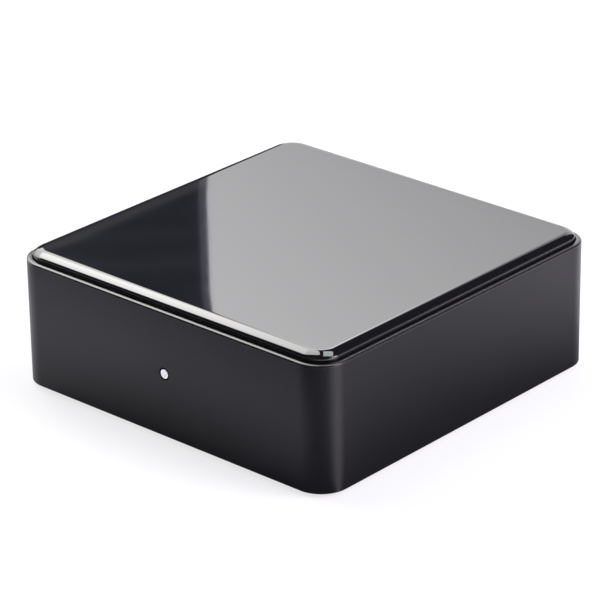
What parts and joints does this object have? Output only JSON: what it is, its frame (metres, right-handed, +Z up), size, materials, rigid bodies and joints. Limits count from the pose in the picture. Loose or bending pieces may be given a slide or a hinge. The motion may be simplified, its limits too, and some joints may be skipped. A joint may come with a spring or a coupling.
{
  "type": "network music streamer",
  "caption": "Square network music streamer: black metal sleeve, bevelled gloss top, status light at the front, network, optical, line and power sockets and a pairing button at the rear.",
  "frame": {"origin": "on the floor, under the middle of the sleeve", "axes": "+Z up, front with the status light towards -Y, sockets towards +Y"},
  "size_m": [0.1, 0.1, 0.0354],
  "materials": {
    "black_anodised": "satin",
    "gloss_black": "polished",
    "black_plastic": "fine texture",
    "rubber": "matte",
    "steel": "bright zinc",
    "tin": "tinned",
    "gold": "gold plated",
    "board": "solder mask",
    "module_board": "solder mask",
    "light_guide": "milky clear",
    "lamp": "clear",
    "chip": "moulded",
    "emitter": "clear red",
    "capacitor": "drawn",
    "ferrite": "sintered",
    "tape": "foam",
    "antenna_film": "film",
    "cable_jacket": "smooth",
    "resistor": "ceramic",
    "plunger": "smooth"
  },
  "bodies": {
    "housing": {"side_sleeve": "black_anodised", "top_panel": "gloss_black", "panel_tape": "tape", "base_plate": "black_plastic", "rubber_feet": "rubber", "base_screws": "steel", "rear_panel": "black_plastic", "main_board": "board", "board_screws": "steel", "light_pipe": "light_guide", "status_led": "light_guide", "network_shield": "tin", "network_body": "black_plastic", "network_contacts": "gold", "network_lamps": "lamp", "network_transformer": "chip", "optical_body": "black_plastic", "optical_emitter": "emitter", "line_body": "black_plastic", "line_terminals": "tin", "power_shell": "tin", "power_tongue": "black_plastic", "power_contacts": "gold", "switch_body": "chip", "wifi_board": "module_board", "wifi_can": "tin", "antenna_plug": "gold", "antenna_lead": "cable_jacket", "antenna_strip": "antenna_film", "dac_chip": "chip", "amplifier_chip": "chip", "flash_chip": "chip", "filter_capacitors": "capacitor", "clock_crystal": "tin", "power_inductor": "ferrite", "voltage_regulator": "chip", "chip_resistors": "resistor"},
    "pairing_key": {"pair_button": "black_plastic", "switch_plunger": "plunger"},
    "socket_shutter": {"optical_shutter": "black_plastic"}
  },
  "joints": [
    {"name": "button_press", "type": "slide", "parent": "housing", "child": "pairing_key", "axis": [0, -1, 0], "range_m": [0, 0.0004], "stiffness_N_per_m": 2000},
    {"name": "shutter_swing", "type": "hinge", "parent": "housing", "child": "socket_shutter", "pos_m": [-0.017, 0.0485, 0.01715], "axis": [-1, 0, 0], "range_deg": [0, 85], "stiffness_Nm_per_rad": 0.0001}
  ]
}
